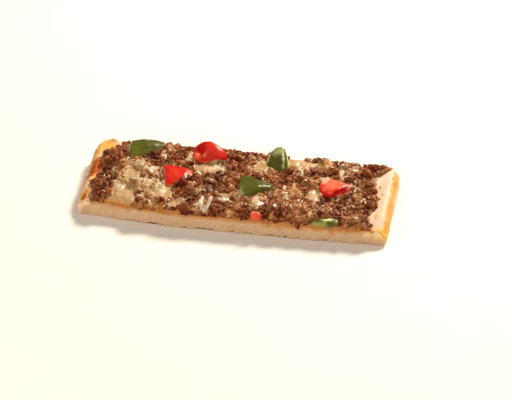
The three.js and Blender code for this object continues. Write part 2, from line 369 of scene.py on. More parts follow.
bread = {
    "length": 250,
    "width": 84,
    "thickness": 13.6,  # at the cut faces
    "slowWave": (0.35, 21),  # rise and fall of the top along the strip: height, and length over 2 pi
    "quickWave": (0.2, 9, 14),  # the same, along it and across it
    # lift: how high the rim stands; crest: how far in from the end it is highest
    # frontIn and backCorner: how far the end draws in at the front and at the back corner
    # crustFrom: where the crust takes over the cut side; crestAt: how far in the browner crest lies
    # bake, crestBake and endBake: how brown the rim is, and how much browner its crest and its outer face
    "leftRim": {
        "width": 11, "lift": 3.6, "crest": 4, "frontIn": 0, "backCorner": 12, "crustFrom": 124,
        "bake": 0.23, "crestAt": 5, "crestBake": 0.08, "endBake": 0.1,
    },
    "rightRim": {
        "width": 16, "lift": 3.8, "crest": 4, "frontIn": 1.8, "backCorner": 2, "crustFrom": 124.5,
        "bake": 0.07, "crestAt": 3.2, "crestBake": 0.27, "endBake": 0.12,
    },
    "rimBulge": 1.5,  # how far the ends stand out between foot and top
    "rimDrop": 5,  # how far the top rounds down at the ends
    "crestHalf": (0.8, 3.4),  # the browner crest is full so far to each side, and gone so far out
    "topInset": 1.2,  # how much further in the ends are at the top
    "corners": {  # the crust rolls over at the cuts
        "from": 104, "to": 125, "inwards": 1.6, "drop": 5.5, "reach": 17, "atBack": 0.3,
    },
    "puff": {"from": 91, "to": 113, "rise": 2.3, "beyond": 2.0},  # of the back left corner, up and out
    "drift": {"left": 6, "right": 2.4, "from": 44, "to": 137},  # the front cut runs in towards the ends
    "cells": (400, 64, 26),  # of the mesh: along, across and up
    "swells": [(0.7, 11), (0.35, 4.5), (0.14, 1.8)],  # rises and dips of the crust: height and size
    "pore": (2.6, 0.7),  # size and depth
    "finePore": (1.5, 0.3),
    "openCrumb": 9,  # size of the places where the pores are open
    "torn": (3.2, 1.8),  # tears at the foot of the slice: size and depth
    "tornLess": {"from": 70, "to": 100, "by": 0.6},  # they are shallower towards the ends
    "underBake": 0.62,
    # how far fat has browned the upper edge of the cut: at the left, and how much further beyond that
    "grease": {"left": 0.45, "further": 0.3, "from": -70, "to": -40},
    "blisters": [  # x, y, radius, rise
        (-119, 7, 6.5, 1.1), (-118, -13, 4, 0.4), (-115, 24, 7, 0.7), (-109, 35, 6, 0.8),
        (-120, -29, 3.5, 0.5), (119, 22, 7, 0.5), (120, -6, 8, 0.4), (117, -27, 6, 0.3), (114, 33, 5, 0.4),
    ],
    "gold": [  # oily yellow places: x, y, half length along x and along y, how yellow
        (-112, 34, 9, 8, 0.6), (112.5, -22, 2.6, 6, 0.7), (118, -38, 9, 8, 0.8), (109, -42, 6, 5, 0.6),
        (122, -34, 5, 10, 0.7), (-119, 27, 5, 6, 0.5),
    ],
    "brownSpots": [  # x, y, radius, how much browner
        (-117.5, 11, 7.5, 0.58), (-118, 2.5, 6.5, 0.54), (-121, -6.5, 6.5, 0.55), (-118.5, -26.6, 2.6, 0.3),
        (-120.7, -29.8, 3.2, 0.42), (-117.7, -2.5, 4.5, 0.25), (-119, -30, 19, -0.09), (-113, 33, 9, 0.2),
        (-117, 24, 5, 0.12), (120, 27, 1.3, 0.6), (121.5, -12, 12, 0.05),
    ],
}
halfLength = bread["length"] / 2
halfWidth = bread["width"] / 2
nearlyOne = 0.999  # past this a place from -1 to 1 lies on the outside


def frontEdge(x):
    drift = bread["drift"]
    side = np.where(x < 0, drift["left"], drift["right"])
    return side * smoothStep(np.abs(x), drift["from"], drift["to"]) - halfWidth


def breadTop(x, y):
    x, y = np.broadcast_arrays(np.asarray(x, float), np.asarray(y, float))
    inward = halfLength - np.abs(x)
    slow, slowLength = bread["slowWave"]
    quick, alongLength, acrossLength = bread["quickWave"]
    top = bread["thickness"] + slow * np.sin(x / slowLength + 0.6)
    top = top + quick * np.sin(x / alongLength - y / acrossLength)
    for rim, here in ((bread["leftRim"], x < 0), (bread["rightRim"], x >= 0)):
        climb = fade(inward, rim["crest"], rim["width"])
        rounded = fade(inward, -rim["crest"], rim["crest"])
        uneven = 0.8 + 0.4 * relief(y / rim["width"], rim["width"])
        top = top + here * (rim["lift"] * climb * uneven - bread["rimDrop"] * rounded)
    return top


def crustSwell(points, x, y, up):
    # slow swells, wrinkles and blisters, all upwards and outwards
    swell = 0
    for seed, (rise, size) in enumerate(bread["swells"], 1):
        swell = swell + rise * lumps(points, size, seed)
    for bx, by, radius, rise in bread["blisters"]:
        off = np.hypot(x - bx, y - by) / radius
        swell = swell + rise * fade(off, 0, 1) * smoothStep(up, 0.4, 1)
    return swell


def sliceDepth(points, x, up):
    # how far in the surface of the slice lies: pores, tears at the foot and the wander of the knife
    poreSize, poreDepth = bread["pore"]
    fineSize, fineDepth = bread["finePore"]
    tearSize, tearDepth = bread["torn"]
    pore = fade(pits(points * [1, 1, 1.3], poreSize, 4), 0.1, 0.5)
    tiny = fade(pits(points, fineSize, 5), 0.1, 0.45)
    atFoot = fade(up, 0.05, 0.2)
    torn = smoothStep(lumps(points * [1, 1, 0.4], tearSize, 6) + 0.8 * (0.18 - up), 0.12, 0.5) * atFoot
    rough = 0.35 * lumps(points, 7, 7) + 0.25 * lumps(points, 2.5, 8)
    opened = smoothStep(lumps(points, bread["openCrumb"], 9), -0.25, 0.4)
    less = bread["tornLess"]
    tears = tearDepth * torn * (1 - less["by"] * smoothStep(np.abs(x), less["from"], less["to"]))
    return 0.25 + poreDepth * pore * opened + fineDepth * tiny + tears - rough


def crustBake(points, x, y, up, end):
    # how far each place is baked, from 0, pale, to 1, dark
    inward = halfLength - np.abs(x)
    crest = fade(np.abs(inward - end["crestAt"]), *bread["crestHalf"])
    bake = end["bake"] + 0.12 * lumps(points, 8, 10)
    bake = bake + crest * end["crestBake"] * (0.9 + 0.3 * lumps(points, 10, 11))
    bake = bake + end["endBake"] * end["outer"]
    ragged = 0.25 * lumps(points, 2.5, 12)
    for bx, by, radius, much in bread["brownSpots"]:
        off = np.hypot(x - bx, y - by) / radius + ragged
        bake = bake + much * fade(off, 0.35, 1) * smoothStep(up, 0.3, 0.8)
    return np.where(up < 0.03, bread["underBake"] + 0.3 * lumps(points, 6, 13), bake)


def crustGold(points, x, y, up):
    gold = np.zeros(len(x))
    ragged = 0.4 * lumps(points, 4, 16)
    for *oval, much in bread["gold"]:
        here = fade(ovalOff(x, y, *oval) + ragged, 0.3, 1)
        gold = np.maximum(gold, much * here * smoothStep(up, 0.25, 0.8))
    return gold


def breadBlock(s, t, up, end):
    # the strip without its crust's lumps and its crumb's pores
    inset = end["frontIn"] * np.maximum(0, 0.3 - 0.7 * t) + end["backCorner"] * np.maximum(0, t) ** 10
    inset = inset + bread["rimBulge"] * (2 * up - 1) ** 2 + bread["topInset"] * smoothStep(up, 0.72, 1)
    x = halfLength * s
    y = np.where(t < 0, -t * frontEdge(x), t * halfWidth)
    z = up * breadTop(x, y)
    corner = bread["corners"]
    roll = smoothStep(np.abs(x), corner["from"], corner["to"])
    toCut = (1 - np.abs(t)) * halfWidth
    rolled = roll * fade(toCut, 0, corner["reach"]) * np.where(t > 0, corner["atBack"], 1)
    z = z - corner["drop"] * rolled * up**2
    y = y - np.sign(t) * corner["inwards"] * rolled * up**2.5
    x = x - np.sign(s) * np.abs(s) ** 7 * inset
    puff = bread["puff"]
    puffed = smoothStep(-x, puff["from"], puff["to"]) * smoothStep(t, 0.3, 0.95) * up
    z = z + puff["rise"] * puffed
    y = y + puff["beyond"] * puffed
    return x, y, z


def makeBread():
    places, faces, sides = boxGrid(*bread["cells"])
    s, t = 2 * places[:, 0] - 1, 2 * places[:, 1] - 1
    up = places[:, 2]
    left, right = bread["leftRim"], bread["rightRim"]
    end = {key: np.where(s < 0, left[key], right[key]) for key in left}
    end["outer"] = (np.abs(s) > nearlyOne).astype(float)
    endness = smoothStep(np.abs(s), 0.9, 0.97)  # 1 on the baked ends
    cut = (np.abs(t) > nearlyOne).astype(float)  # 1 on the two sliced sides
    x, y, z = breadBlock(s, t, up, end)
    points = np.stack([x, y, z], 1)
    swell = crustSwell(points, x, y, up)
    points[:, 2] += swell * (up > nearlyOne) * (0.25 + 0.75 * endness)
    points[:, 0] += np.sign(s) * end["outer"] * swell * 0.8 * smoothStep(up, 0, 0.25)
    inwards = sliceDepth(points, x, up)
    wrapped = np.abs(x) + 9 * up + 2.5 * lumps(points, 3, 17) - end["crustFrom"]
    wrapped = smoothStep(wrapped, -1.5, 1.5)  # 1 where the cut side is crust
    smoother = np.maximum(wrapped, endness)
    points[:, 1] -= np.sign(t) * cut * np.maximum(inwards, -0.2) * (1 - 0.8 * smoother)
    points[:, 2] += cut * (up < 0.001) * 0.5 * smoothStep(lumps(points, bread["torn"][0], 6), 0.05, 0.5)
    bake = crustBake(points, x, y, up, end)
    grease = bread["grease"]
    greasy = grease["left"] + grease["further"] * smoothStep(x, grease["from"], grease["to"])
    greasy = greasy + 0.5 * lumps(points * [1, 0, 1], 5, 14)
    soaked = greasy * smoothStep(up + 0.12 * lumps(points, 6, 15), 0.7, 1) * (1 - endness)
    sliced = (cut > 0) & (wrapped < 0.5)
    bake = np.where(sliced, bake * fade(up, 0, 0.09) + soaked, bake)
    values = {"bake": bake, "gold": crustGold(points, x, y, up)}
    onCut = [side in ("front", "back") for side in sides]
    crumbFaces = [int(here and wrapped[list(face)].mean() < 0.5) for here, face in zip(onCut, faces)]
    addPiece("bread_strip", points, faces, [crust, crumb], values, ["flatbread"], crumbFaces)


makeBread()


pepper = {
    "wall": 3.2,  # skin to inner side
    "cells": (44, 34, 6),  # of the mesh: along, across and through the wall
    "ripple": (0.3, 7, 0.12, 2.4),  # rise and size of the slow and of the fine wrinkles
    "drawnIn": (0.35, 1.2),  # how far the skin draws in at the cuts, and from how far off
    "pieces": {
        # net: the skin's places, in rows from front to back, each from left to right
        # slant: how far the skin stops short of the flesh at the left, right, front and back cuts
        # dents: s, t, half length along s and along t, depth
        # tints: s, t, half length along s and along t, how warm, how hazy with cheese; some of this haze is
        # a painted highlight
        "green_pepper_1": {
            "net": [
                [(-95.5, 22.5, 18.5), (-86.5, 20.5, 19), (-76.5, 26, 19.5), (-67, 35.5, 19.5)],
                [(-97.5, 30, 20.8), (-87, 30, 23), (-76.5, 34, 22.8), (-66, 37.5, 20.8)],
                [(-97.5, 38.5, 20.5), (-87, 39.5, 23), (-76, 40.8, 22.6), (-67, 40.3, 20.2)],
            ],
            "slant": (3.4, 1.5, 0.3, 0.3),
            "dents": [(0.5, 0.5, 0.25, 0.25, -0.4), (0.45, 0.86, 0.12, 0.16, -0.6)],
            "tints": [
                (0.12, 0.2, 0.4, 0.6, 0.2, 0.0), (0.5, 0.95, 0.2, 0.1, 0.2, 0.25),
                (0.0, 0.5, 0.14, 1.2, 0.6, 0.25),
            ],
        },
        "green_pepper_2": {
            "net": [
                [(15.5, 27, 19), (22, 22.2, 18.2), (30.5, 21.2, 18.2), (39, 24, 18.2)],
                [(18.2, 31.3, 24.2), (22.8, 29, 25.4), (29.8, 28.4, 26), (37, 30.2, 23.8)],
                [(22.2, 35.2, 28.2), (25.6, 36.2, 30.8), (29.2, 36.2, 31), (33, 34.8, 28.4)],
            ],
            "slant": (1.6, 3.2, 0.3, 0.4),
            "dents": [(0.3, 0.5, 0.16, 0.5, 0.8)],
            "tints": [
                # the streak down the ridge at s 0.72 and the pale line along the left cut at s 0.1 are
                # painted highlights
                (0.4, 0.8, 0.45, 0.35, 0.4, 0.5), (0.72, 0.6, 0.07, 0.8, 0.2, 1.0),
                (0.95, 0.5, 0.1, 0.7, 0.7, 0.5), (0.1, 0.35, 0.08, 0.5, 0.0, 0.9),
            ],
        },
        "green_pepper_3": {
            "net": [
                [(3, -19.5, 19), (11.5, -15.5, 19), (19.8, -11.5, 18.6), (26.8, -9, 18.2)],
                [(1, -12, 20.6), (10.8, -10.2, 22.2), (19.3, -8.8, 22.8), (27, -6.2, 20.7)],
                [(0, -4.5, 21.6), (9.6, -3.6, 23.6), (18.3, -5.2, 23.6), (27.3, -3.2, 21.2)],
                [(-0.8, 3.4, 21.8), (8, 3, 23.8), (17, -1.2, 23.8), (27.4, -0.4, 21)],
            ],
            "slant": (0.6, 0.9, 0.5, 0.3),
            "dents": [(0.3, 0.6, 0.25, 0.3, 0.4)],
            "tints": [
                (0.0, 0.15, 0.16, 0.6, 0.2, 0.4), (0.9, 1.0, 0.2, 0.2, 0.2, 0.2),
                # the whitish streak at s 0.67, t 0.42 is a painted highlight
                (0.67, 0.42, 0.17, 0.09, 0.0, 0.9),
            ],
        },
        "green_pepper_4": {
            "net": [
                [(64, -42.3, 16.5), (71, -42.8, 15), (78.5, -42.3, 15), (84.5, -39.8, 16.2)],
                [(64, -41, 18), (71, -40.6, 19), (78.5, -40, 19.6), (85, -38.2, 18.8)],
                [(66, -38, 18.2), (72, -36.8, 19.4), (79, -35.6, 19.8), (84, -36.2, 18.8)],
            ],
            "slant": (0.8, 0.8, 0.2, 0.5),
            "dents": [(0.45, 0.7, 0.12, 0.4, 0.4)],
            "tints": [
                # the haze at s 0.55, t 0.8 is a film of cheese and partly a painted highlight
                (0.25, 0.2, 0.5, 0.5, 0.9, 0.2), (0.55, 0.8, 0.35, 0.45, 0.3, 0.85),
                (0.95, 0.5, 0.2, 0.6, 0.9, 0.3),
            ],
        },
        "red_pepper_1": {
            "net": [
                [(-43, 25, 19.5), (-34.5, 20.5, 18.5), (-24, 21, 22), (-14.5, 25.5, 19)],
                [(-43, 29.5, 23.5), (-34, 28.5, 26.5), (-23.5, 27.5, 27.6), (-14, 28.5, 20.8)],
                [(-41, 33, 26), (-33, 36.5, 29.6), (-24, 34.5, 29), (-15, 31, 22.4)],
            ],
            "slant": (1.4, 1.0, 1.2, 1.0),
            "dents": [
                (0.24, 0.5, 0.16, 0.36, 4.6), (0.08, 0.6, 0.05, 0.4, -0.7), (0.4, 0.26, 0.08, 0.22, -1.3),
                (0.45, 1, 0.07, 0.12, -0.9),
            ],
            "tints": [
                (0.12, 0.15, 0.3, 0.4, 0.9, 0.1), (0.6, 0.5, 0.5, 0.7, 0.12, 0.04),
                # the pink spot at s 0.4, t 0.25 is a painted highlight; the pale orange patch at s 0.72, t
                # 0.85 is a painted sheen that also roughens the skin
                (0.72, 0.85, 0.22, 0.3, 0.5, 0.2), (0.4, 0.25, 0.05, 0.14, 0.2, 0.5),
            ],
        },
        "red_pepper_2": {
            "net": [
                [(-58.5, -11.8, 20), (-51.5, -12.5, 20.3), (-44, -9.5, 20.6), (-37.5, -5.5, 20.2)],
                [(-61.5, -1.5, 21.8), (-53, -2, 22.8), (-45, -1.3, 22.8), (-37.8, 0.5, 21.2)],
                [(-65, 9.8, 21.8), (-54.5, 9.3, 22.6), (-46, 8.2, 22.4), (-39, 6, 21)],
            ],
            "slant": (1.8, 0.5, 0.6, 0.3),
            "dents": [(0.78, 0.45, 0.07, 0.3, 0.35), (0.3, 0.5, 0.3, 0.4, -0.4)],
            "tints": [
                # the pale patch at s 0.86 is a painted highlight that also roughens the skin, softening the
                # lamp's own highlight
                (0.35, 0.5, 0.4, 0.6, 0.3, 0.0), (0.86, 0.5, 0.2, 0.6, 0.1, 0.55),
                (0.0, 0.5, 0.07, 0.7, 0.2, 0.4),
            ],
        },
        "red_pepper_3": {
            "net": [
                [(63.6, -1, 19.5), (72.5, -9.5, 19), (80.5, -6, 18.6), (89, 0.2, 18.8)],
                [(63.6, 3, 21.5), (73, -5.6, 22.8), (81, -1, 24), (89.8, 2.6, 21.8)],
                [(64.4, 12.5, 21.5), (73, 12, 22.5), (81, 9, 22.5), (88.5, 5.5, 21.5)],
            ],
            "slant": (0.4, 0.8, 0.7, 0.6),
            "dents": [
                (0.45, 0.75, 0.15, 0.25, 0.5), (0.6, 0.42, 0.3, 0.13, -0.5), (0.62, 0.22, 0.26, 0.12, 0.8),
            ],
            "tints": [
                (0.45, 0.85, 0.7, 0.6, 0.75, 0.25), (0.12, 0.95, 0.3, 0.25, 0.5, 0.9),
                (0.97, 0.5, 0.12, 0.6, 0.4, 0.6),
            ],
        },
        "red_pepper_4": {
            "net": [
                [(16.8, -42.4, 16.4), (18.8, -43.4, 15.4), (21.6, -43.4, 15.5), (23.8, -42.6, 16.4)],
                [(14.6, -41.8, 18.6), (17.6, -43, 20), (21.6, -43, 19.8), (25.3, -42.2, 18.2)],
                [(16.4, -39.8, 21.2), (18.2, -38.2, 22.8), (21, -38.8, 22), (23.6, -40.6, 20)],
            ],
            "slant": (0.8, 0.8, 0.3, 0.8),
            "dents": [(0.55, 0.55, 0.22, 0.3, 0.7)],
            "tints": [(0.4, 0.6, 0.7, 0.7, 0.9, 0.12), (0.05, 0.9, 0.25, 0.3, 0.5, 0.5)],
        },
    },
}


def through(values, u):
    # the smooth curve that passes through the values, which are spaced evenly from 0 to 1
    knots = np.linspace(0, 1, len(values))
    total = 0
    for i, own in enumerate(knots):
        weight = 1
        for j, other in enumerate(knots):
            if i != j:
                weight = weight * (u - other) / (own - other)
        total = total + weight[:, None] * values[i]
    return total


def skinAt(net, s, t):
    return through([through(np.array(row, float), s) for row in net], t)


def makePepper(name, one):
    places, faces, _ = boxGrid(*pepper["cells"])
    s, t, depth = places[:, 0], places[:, 1], 1 - places[:, 2]
    net = one["net"]
    long = np.linalg.norm(np.subtract(net[1][3], net[1][0]))
    wide = np.linalg.norm(np.subtract(net[-1][1], net[0][1]))
    left, right, front, back = one["slant"]
    s = mix(left / long * (1 - depth), 1 - right / long * (1 - depth), s)
    t = mix(front / wide * (1 - depth), 1 - back / wide * (1 - depth), t)
    skin = skinAt(net, s, t)
    tiny = 0.01
    alongS = skinAt(net, s + tiny, t) - skinAt(net, s - tiny, t)
    alongT = skinAt(net, s, t + tiny) - skinAt(net, s, t - tiny)
    normal = np.cross(alongS, alongT)
    normal /= np.linalg.norm(normal, axis=1)[:, None]
    edge = np.minimum(np.minimum(s, 1 - s) * long, np.minimum(t, 1 - t) * wide)  # to the nearest cut
    rise, size, fineRise, fineSize = pepper["ripple"]
    push = rise * lumps(skin, size, 21) + fineRise * lumps(skin, fineSize, 22)
    drawn, reach = pepper["drawnIn"]
    push = push - drawn * fade(edge, 0, reach)
    for *oval, sink in one["dents"]:
        push = push - sink * fade(ovalOff(s, t, *oval), 0, 1)
    warm, film = np.zeros(len(s)), np.zeros(len(s))
    ragged = 0.4 * lumps(skin, 3, 24)
    for *oval, warmer, milky in one["tints"]:
        near = fade(ovalOff(s, t, *oval) + ragged, 0.2, 1)
        warm = np.maximum(warm, warmer * near)
        film = np.maximum(film, milky * near)
    wall = pepper["wall"] * (0.75 + 0.25 * smoothStep(edge, 0, 4)) * (1 + 0.25 * lumps(skin, 4, 23))
    points = skin + normal * (push - wall * depth)[:, None]
    kind = name.split("_")[0]
    values = {"depth": depth, "warm": warm, "film": film}
    addPiece(name + "_dice", points, faces, [pepperMaterials[kind]], values, [name])
    return BVHTree.FromPolygons(points.tolist(), faces)


pepperTrees = {name: makePepper(name, one) for name, one in pepper["pieces"].items()}
print("peppers cut")


cheese = {
    "thickness": 2.1,
    "beyond": 1.6,  # how far it runs out past the mince at the two ends
    "endFade": 4,
    "wander": 1.2,
    "inset": 0.6,
    "blister": 6,
    "poolRise": 3.4,
    "poolEdge": (0.62, 1.2),
    "poolSwells": [(0.8, 5), (0.45, 2.2)],  # height and size
    "ragged": (0.5, 0.5, 2.6),  # how ragged a pool's edge is at the size of a blister, and at a finer one
    "filmBed": 2.9,  # how far under the top of the heap thin cheese lies
    "filmRise": 3.9,  # and how much higher it stands where there is more of it
    "filmEndSink": 2.2,
    "climb": (1.2, 0.7),  # beside crumbs that stand so much higher it is drawn up by so much
    "intoPepper": 0.8,
    "atCut": 1.8,  # how thick it has run at the back cut
    "atFront": [(-80, 1.8), (-74, 4.4), (-38, 4.4), (-30, 1.8)],  # and at the front cut: x, thickness
    "cutReach": 8,  # how far in from a cut that thickness holds
    "pools": [  # centre and half lengths
        (-89, -28, 11, 17), (-86, -6, 8, 12), (-58.5, -21.5, 9.5, 13), (-47, -35.5, 8.5, 4),
        (-25, 14.5, 18, 7.5), (13, 23, 8, 11), (46, 33, 14, 9.5), (18, -23, 5.5, 9), (61, -9, 6.5, 9),
        (80, 25, 5.5, 7), (90, 30, 4, 4.5),
    ],
    "film": (0.25, 0.5, 9, 0.5, 4),  # over all the mince: how much, then swing and size, coarse and fine
    "films": [  # cheese between the crumbs of mince: centre, half lengths, how much of it
        (-108, 22, 4, 5, 0.5), (-101, -1, 3.5, 6, 0.8), (-86, 4, 15, 17, 1.05), (-70, 3, 8, 8, 0.95),
        (-69, -18, 15, 16, 1.1), (-90, -20, 14, 18, 1.1), (-76, -15, 9, 13, 1.25), (66, 32, 6, 11, 1.25),
        (-66, 25, 4, 9, 0.8), (-52, 16, 9, 4, 0.5), (-44.5, 27, 3, 9, 0.95), (-26, 15, 18, 10, 1.0),
        (-46, -33, 10, 8, 0.9), (-8, -21, 10, 4, 1.0), (-9, -26.5, 9, 4, 0.9), (-24, -28, 6, 10, 0.7),
        (-91, -8, 7, 7, 1.3), (-66, -36, 10, 6, 0.85), (-5, 33, 6, 7, 0.5), (13, 22, 12, 13, 0.9),
        (46, 34, 16, 12, 1.0), (48, 19, 5, 8, 0.8), (65, 33, 8, 13, 1.0), (81, 26, 8, 14, 0.95),
        (89, 31, 5, 6, 1.1), (18, -23, 9, 13, 0.9), (63, -8, 9, 12, 0.9), (38, -8, 13, 9, 0.75),
        (46, -24, 17, 10, 0.65), (70, -28, 10, 6, 0.7), (55, -38, 15, 5, 0.85), (98, -36, 12, 7, 0.75),
        (94, 7, 7, 4, 0.7), (0, -40, 12, 4, 0.6), (-63, -40.5, 13, 3.4, 1.15),
    ],
    "milk": [  # whitish places: centre, half lengths, how white
        (-58, -20, 5, 4, 0.9), (-66, -27, 2, 5, 0.8), (-61, -8, 3, 3, 0.8), (-94, -19, 2, 2, 0.9),
        (-101, -1, 2, 4, 0.7), (-85, 8, 2, 6, 0.6), (-72, 4, 4, 3, 0.9), (-70, -12, 3, 3, 0.6),
        (-66, 24, 2.5, 8, 0.7), (-25, 15, 6, 4, 0.6), (-19, 18, 6, 4, 0.9), (-44.5, 28, 2, 8, 0.8),
        (-9, -26, 7, 2, 0.8), (48, 20, 3, 7, 0.7), (46, 36, 9, 7, 0.15), (80, 26, 4, 6, 0.7),
        (90, 30, 3, 3.5, 0.8), (63, 15, 4, 3, 0.7), (62, -12, 4, 6, 0.35), (17, -21, 4, 7, 0.4),
        (77, -37, 5, 2, 0.8), (86, 2, 3, 3, 0.6),
    ],
    "toast": [  # places the oven has browned: centre, half lengths, how brown
        (-57, -40, 4, 4, 1.0), (-54, -27, 2, 7, 0.6), (-51, -40, 3, 3, 0.6), (-88, -41, 12, 4, 0.8),
        (-67, -41, 9, 3.4, 0.8), (-44, -41, 9, 3, 0.7), (-103, 17, 2.5, 2.5, 0.6), (82.5, -23, 3, 4, 0.9),
        (66, 33, 6, 11, 0.7), (43, -4, 7, 5, 0.6), (12, 24, 4, 6, 0.3), (104, -41, 11, 4, 0.8),
        (37, 31, 3, 7, 0.4), (47, 35, 15, 9, 0.2),
    ],
    "cells": (360, 126),
    "skirtCells": 7,
    "runs": [(1.1, 9, 2), (0.5, 4.3, 4), (0.5, 2.1, 9)],  # down the cuts: length, size and seed
    "drips": [  # x, half length, how far it runs down the cut
        (-55, 7, 1.2), (-88, 14, 0.6), (-20, 16, 0.8), (12, 12, 1.2), (38, 20, 2.8), (28, 5, 1.0),
        (62, 16, 1.8), (79.5, 3.2, 4.2), (96, 14, 1.6),
    ],
}
mince = {
    "thickness": 4.8,
    "left": -116,
    "right": 109.5,
    "leftEdge": [  # y, x
        (-44, -115), (-25, -115), (-19, -118), (-11, -118), (-6, -113), (10, -112), (16, -118), (21, -118),
        (25, -111), (36, -106), (44, -101),
    ],
    "rightEdge": [
        (-44, 113), (-37, 110), (-30, 107), (-17, 107), (-12, 113.5), (-8, 110.5), (1, 113), (6, 110.5),
        (14, 108), (25, 106), (35, 109), (39, 116), (44, 119),
    ],
    "wander": 2.4,
    "inset": 1.1,
    "clump": 8,
    "swells": [(2.6, 15), (2.2, 7.5)],  # rises and dips of the heap: height and size
    "hollows": [  # dark hollows in the heap: x, y, radius, depth
        (-103, 8, 6, 2.4), (-79, 26, 6, 2.2), (-92, -9, 4, 1.5), (54, 3, 6, 2.6), (71, 19, 5, 2.4),
        (95, 11, 5, 2.2), (34, -28, 5, 1.6), (-13, -12, 5, 1.5), (-43, -15, 6, 1.6),
    ],
    "edgeSlump": (1.8, 5),  # how much lower the heap is at the cuts, and how far in
    "foot": 12.6,  # the underside of the core, a little way into the bread
    "coreSink": 2.6,  # how far the core lies under the top of the heap
    "coreCells": (370, 136),
    "coreGrain": [(1.5, 3.6), (0.6, 2.3)],  # rounded grains on the core: height and size
    "raster": 0.5,
    "shapes": 24,  # different crumbs of each sort
    "stretch": [(0.95, 1.3), (0.85, 1.05), (0.7, 0.95)],  # along, across and upright
    "squash": 0.85,  # height of a crumb for its width, where others lie on it
    "overlap": 1.15,  # crumbs are this much larger than the room they are given
    "scatter": (-119, 117),
    "toneSpread": 0.2,
    "glazeSpread": (0.5, 1.1),
    "sorts": {
        # slack: how far a crumb may end under or over the top of the heap
        "nuggets": {
            "count": 245, "radius": (2.8, 4.7), "cells": 8, "knobs": 13, "knobSize": (0.3, 0.52),
            "tries": 7000, "slack": (-1.4, 1.0),
            "onPepper": [  # crumbs that lie over the edge of a piece of pepper
                (-43.5, -10, 3.6), (-49, -12.5, 2.6), (-38.5, -6.5, 2.6), (-72, 26.8, 2.7),
                (-76.5, 25, 2.3), (-69, 29.5, 2.0), (90, 1, 1.6),
            ],
        },
        "crumbs": {
            "count": 700, "radius": (1.5, 2.5), "cells": 4, "knobs": 7, "knobSize": (0.34, 0.54),
            "tries": 12000, "slack": (-1.4, 0.6),
            "strays": [  # crumbs that have rolled on to the bare rim: x, y, radius
                (114.5, 5, 1.2), (115.5, -6, 0.9), (110, -33, 1.6), (111, 17, 1.1), (116, 3, 0.8),
                (-117.5, -20, 1.2), (-115, 3, 0.9),
            ],
            # crumbs that show at the two cuts, at these heights over the bread: fewer from sparseX on,
            # none past lastX, and few at the front between the two hiddenX, where cheese has run over them
            "atCuts": {
                "count": 280, "radii": (1.1, 2.2), "heights": (0.6, 3.6),
                "sparseX": 15, "lastX": 112, "hiddenX": (-76, -34),
            },
        },
        "bits": {
            "count": 900, "radius": (1.0, 1.6), "cells": 3, "knobs": 5, "knobSize": (0.36, 0.58),
            "tries": 14000, "slack": (-1.3, 0.4),
        },
    },
    "frontTone": {"least": 0.42, "to": -38, "from": -28},  # nothing at the front cut is darker
    "tones": [  # places fried darker or left paler: centre, half lengths, shift of tone
        (-22, -4, 26, 14, -0.16), (95, -18, 18, 22, -0.03), (20, 30, 26, 10, 0.2), (50, -22, 22, 12, 0.08),
    ],
}


def poolCover(x, y):
    coarse, fine, fineSize = cheese["ragged"]
    stray = coarse * (relief(x / cheese["blister"], y / cheese["blister"]) - 0.5)
    stray = stray + fine * (relief(x / fineSize + 9, y / fineSize) - 0.5)
    nearest = np.full(np.shape(x), 99.0)
    for oval in cheese["pools"]:
        nearest = np.minimum(nearest, ovalOff(x, y, *oval))
    return fade(nearest + stray, *cheese["poolEdge"])


def patches(listed, x, y, soft):
    # how strongly any of the listed ovals covers each place
    stray = 0.5 * (relief(x / 3.1, y / 3.1 + 50) - 0.5)
    best = np.zeros(np.shape(x))
    for *oval, much in listed:
        best = np.maximum(best, much * fade(ovalOff(x, y, *oval) + stray, soft, 1.2))
    return best


def minceEnds(y):
    first = np.interp(y, *zip(*mince["leftEdge"])) - 0.8 * mince["wander"] * (relief(y / 2.5, 9) - 0.5)
    last = np.interp(y, *zip(*mince["rightEdge"])) + 0.8 * mince["wander"] * (relief(y / 2.5, 5) - 0.5)
    return first, last


def minceTop(x, y):
    first, last = minceEnds(y)
    full = 0.15 + 0.85 * smoothStep(np.minimum(x - first, last - x), -1, mince["clump"] - 2)
    clumps = 0.7 + 0.6 * relief(x / mince["clump"], y / mince["clump"])
    bare = 1 - poolCover(x, y)
    base = cheese["thickness"] * smoothStep(full, 0, 0.6)
    return breadTop(x, y) + base + full * bare * mince["thickness"] * clumps


def layerPoint(layer, s, t, beyond=0):
    # s runs from the left end to the right, t from the front cut to the back
    along = mix(mince["left"], mince["right"], s)
    near = frontEdge(along) + layer["inset"] + layer["wander"] * relief(along / mince["clump"], 3)
    far = halfWidth - layer["inset"] - layer["wander"] * relief(along / mince["clump"], 7)
    y = mix(near, far, t)
    first, last = minceEnds(y)
    return mix(first - beyond, last + beyond, s), y


def insideMince(x, y, room):
    first, last = minceEnds(y)
    near = frontEdge(x) - 0.9 + 0.5 * mince["wander"] * relief(x / mince["clump"], 3)
    far = halfWidth + 0.9 - 0.5 * mince["wander"] * relief(x / mince["clump"], 7)
    return (x > first + room) & (x < last - room) & (y > near + room * 0.8) & (y < far - room * 0.8)


# fields over the strip, on a raster: the heap keeps the height of what lies there
step = mince["raster"]
rasterX = np.arange(-halfLength, halfLength + step, step)
rasterY = np.arange(-halfWidth - 1, halfWidth + 1 + step, step)
meshX, meshY = np.meshgrid(rasterX, rasterY, indexing="ij")
rasterPoints = np.stack([meshX.ravel(), meshY.ravel(), np.zeros(meshX.size)], 1)
toCut = np.minimum(meshY - frontEdge(meshX), halfWidth - meshY)
bareField = breadTop(meshX, meshY)
poolField = poolCover(meshX, meshY)


def swellField(size, seed):
    return lumps(rasterPoints, size, seed).reshape(meshX.shape)


